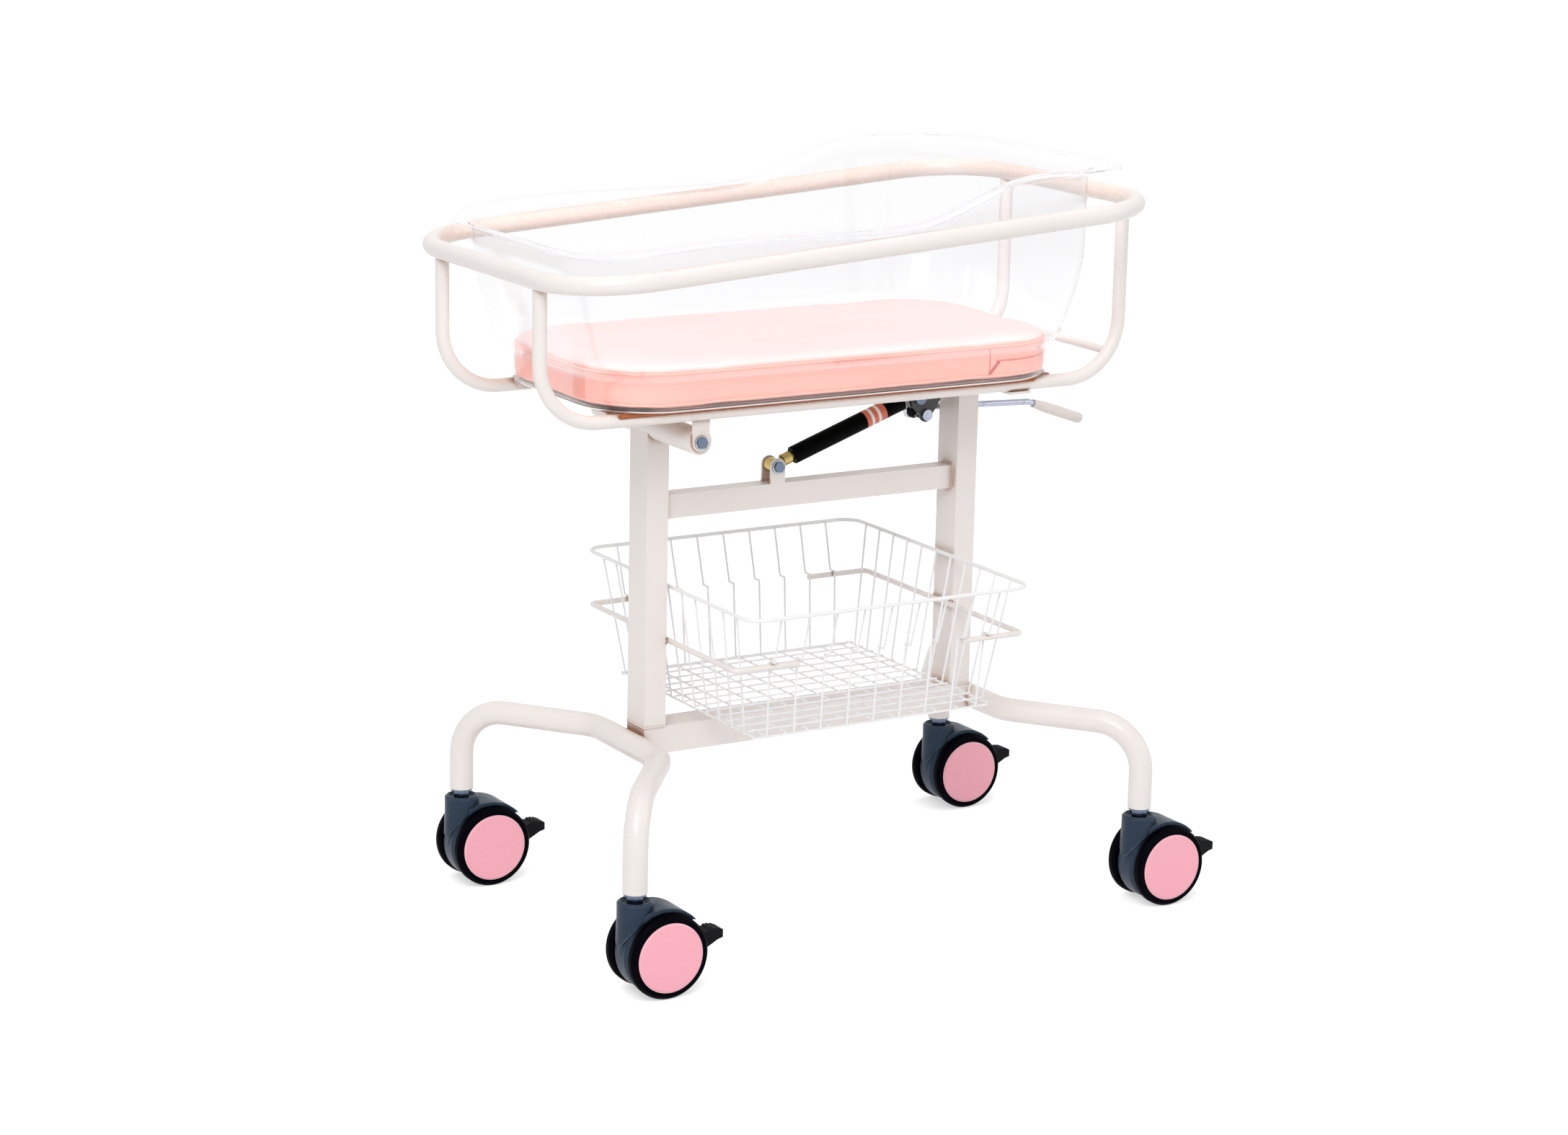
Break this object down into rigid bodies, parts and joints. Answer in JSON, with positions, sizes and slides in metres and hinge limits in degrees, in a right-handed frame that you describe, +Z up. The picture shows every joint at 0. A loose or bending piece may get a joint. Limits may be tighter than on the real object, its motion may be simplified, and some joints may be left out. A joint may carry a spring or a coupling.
{
  "type": "hospital bassinet",
  "caption": "Tilting hospital bassinet: clear lift-out tub with mattress in a tube cradle, wire basket below, on a wheeled two-column frame with a gas spring.",
  "frame": {"origin": "on the floor, midway between the stems of the four casters", "axes": "+X towards the head end, where the tub rises to a hood and the release lever is; +Z up; +Y across the bassinet"},
  "size_m": [0.91, 0.523, 0.914],
  "materials": {
    "frame_cream": "satin powder coat",
    "zinc_blue": "blue zinc plate",
    "zinc_gold": "yellow zinc plate",
    "spring_black": "satin black",
    "silver": "machined",
    "bracket_grey": "satin dark grey",
    "chrome": "bright",
    "grip_cream": "smooth",
    "clear_tub": "clear",
    "mattress_pink": "coated fabric cover",
    "wire_white": "gloss powder coat",
    "slate": "moulded",
    "tyre_black": "moulded",
    "disc_pink": "moulded",
    "pad_black": "moulded",
    "socket_grey": "moulded"
  },
  "bodies": {
    "base_frame": {"column_left": "frame_cream", "column_right": "frame_cream", "bottom_beam": "frame_cream", "leg_tube_left": "frame_cream", "leg_tube_right": "frame_cream", "mid_bar": "frame_cream", "pivot_tube": "frame_cream", "spring_clevis": "frame_cream", "basket_carrier_left": "frame_cream", "basket_carrier_right": "frame_cream", "rest_pad": "pad_black", "caster_sockets": "socket_grey", "caster_stems": "zinc_blue", "spring_lower_bolt": "zinc_blue"},
    "cradle": {"guard_ring": "frame_cream", "u_tube_front": "frame_cream", "u_tube_rear": "frame_cream", "head_crossbar": "frame_cream", "pivot_tabs": "frame_cream", "pivot_bolts": "zinc_blue", "support_tray": "frame_cream", "rest_strap": "frame_cream", "spring_bracket": "bracket_grey"},
    "spring_body": {"spring_cylinder": "spring_black", "spring_gland": "spring_black", "spring_end_fitting": "zinc_gold"},
    "spring_head": {"spring_rod": "chrome", "release_head": "silver", "trigger_roller": "pad_black", "head_screws": "zinc_blue"},
    "release_button": {"release_pin": "chrome"},
    "lever": {"release_lever": "chrome", "lever_grip": "grip_cream", "lever_finger": "bracket_grey"},
    "tub": {"basin_tub": "clear_tub"},
    "mattress_pad": {"mattress": "mattress_pink"},
    "basket": {"basket_rim": "wire_white", "basket_side_panels": "wire_white", "basket_end_panels": "wire_white", "basket_floor": "wire_white"},
    "caster_fl": {"caster_housing_fl": "slate"},
    "wheels_fl": {"caster_wheels_fl": "tyre_black", "wheel_discs_fl": "disc_pink", "caster_axle_fl": "zinc_blue"},
    "pedal_fl": {"brake_pedal_fl": "slate"},
    "caster_bl": {"caster_housing_bl": "slate"},
    "wheels_bl": {"caster_wheels_bl": "tyre_black", "wheel_discs_bl": "disc_pink", "caster_axle_bl": "zinc_blue"},
    "pedal_bl": {"brake_pedal_bl": "slate"},
    "caster_fr": {"caster_housing_fr": "slate"},
    "wheels_fr": {"caster_wheels_fr": "tyre_black", "wheel_discs_fr": "disc_pink", "caster_axle_fr": "zinc_blue"},
    "pedal_fr": {"brake_pedal_fr": "slate"},
    "caster_br": {"caster_housing_br": "slate"},
    "wheels_br": {"caster_wheels_br": "tyre_black", "wheel_discs_br": "disc_pink", "caster_axle_br": "zinc_blue"},
    "pedal_br": {"brake_pedal_br": "slate"}
  },
  "joints": [
    {"name": "cradle_tilt", "type": "hinge", "parent": "base_frame", "child": "cradle", "pos_m": [-0.218, 0, 0.613], "axis": [0, -1, 0], "range_deg": [0, 12]},
    {"name": "spring_swing", "type": "hinge", "parent": "base_frame", "child": "spring_body", "pos_m": [-0.048, 0, 0.548], "axis": [0, -1, 0], "range_deg": [0, 18.6]},
    {"name": "spring_stroke", "type": "slide", "parent": "spring_body", "child": "spring_head", "axis": [0.9439, 0, 0.3304], "range_m": [0, 0.0283]},
    {"name": "lever_squeeze", "type": "hinge", "parent": "cradle", "child": "lever", "pos_m": [0.16, 0, 0.595], "axis": [0, -1, 0], "range_deg": [0, 6], "stiffness_Nm_per_rad": 3, "springref_deg": -14.32},
    {"name": "release_press", "type": "slide", "parent": "spring_head", "child": "release_button", "axis": [-0.9439, 0, -0.3304], "range_m": [0, 0.0022]},
    {"name": "tub_lift", "type": "slide", "parent": "cradle", "child": "tub", "axis": [0, 0, 1], "range_m": [0, 0.1]},
    {"name": "mattress_lift", "type": "slide", "parent": "tub", "child": "mattress_pad", "axis": [0, 0, 1], "range_m": [0, 0.1]},
    {"name": "basket_lift", "type": "slide", "parent": "base_frame", "child": "basket", "axis": [0, 0, 1], "range_m": [0, 0.07]},
    {"name": "swivel_fl", "type": "hinge", "parent": "base_frame", "child": "caster_fl", "pos_m": [-0.354, -0.226, 0.1], "axis": [0, 0, 1], "continuous": true},
    {"name": "roll_fl", "type": "hinge", "parent": "caster_fl", "child": "wheels_fl", "pos_m": [-0.325, -0.226, 0.05], "axis": [0, 1, 0], "continuous": true},
    {"name": "brake_fl", "type": "hinge", "parent": "caster_fl", "child": "pedal_fl", "pos_m": [-0.29, -0.226, 0.056], "axis": [0, 1, 0], "range_deg": [0, 12]},
    {"name": "swivel_bl", "type": "hinge", "parent": "base_frame", "child": "caster_bl", "pos_m": [-0.354, 0.226, 0.1], "axis": [0, 0, 1], "continuous": true},
    {"name": "roll_bl", "type": "hinge", "parent": "caster_bl", "child": "wheels_bl", "pos_m": [-0.325, 0.226, 0.05], "axis": [0, 1, 0], "continuous": true},
    {"name": "brake_bl", "type": "hinge", "parent": "caster_bl", "child": "pedal_bl", "pos_m": [-0.29, 0.226, 0.056], "axis": [0, 1, 0], "range_deg": [0, 12]},
    {"name": "swivel_fr", "type": "hinge", "parent": "base_frame", "child": "caster_fr", "pos_m": [0.354, -0.226, 0.1], "axis": [0, 0, 1], "continuous": true},
    {"name": "roll_fr", "type": "hinge", "parent": "caster_fr", "child": "wheels_fr", "pos_m": [0.383, -0.226, 0.05], "axis": [0, 1, 0], "continuous": true},
    {"name": "brake_fr", "type": "hinge", "parent": "caster_fr", "child": "pedal_fr", "pos_m": [0.418, -0.226, 0.056], "axis": [0, 1, 0], "range_deg": [0, 12]},
    {"name": "swivel_br", "type": "hinge", "parent": "base_frame", "child": "caster_br", "pos_m": [0.354, 0.226, 0.1], "axis": [0, 0, 1], "continuous": true},
    {"name": "roll_br", "type": "hinge", "parent": "caster_br", "child": "wheels_br", "pos_m": [0.383, 0.226, 0.05], "axis": [0, 1, 0], "continuous": true},
    {"name": "brake_br", "type": "hinge", "parent": "caster_br", "child": "pedal_br", "pos_m": [0.418, 0.226, 0.056], "axis": [0, 1, 0], "range_deg": [0, 12]}
  ],
  "couplings": [
    {"joint": "spring_swing", "follows": "cradle_tilt", "ratio": 1.549},
    {"joint": "spring_stroke", "follows": "cradle_tilt", "m_per_rad": 0.13469},
    {"joint": "release_press", "follows": "lever_squeeze", "m_per_rad": 0.02}
  ]
}
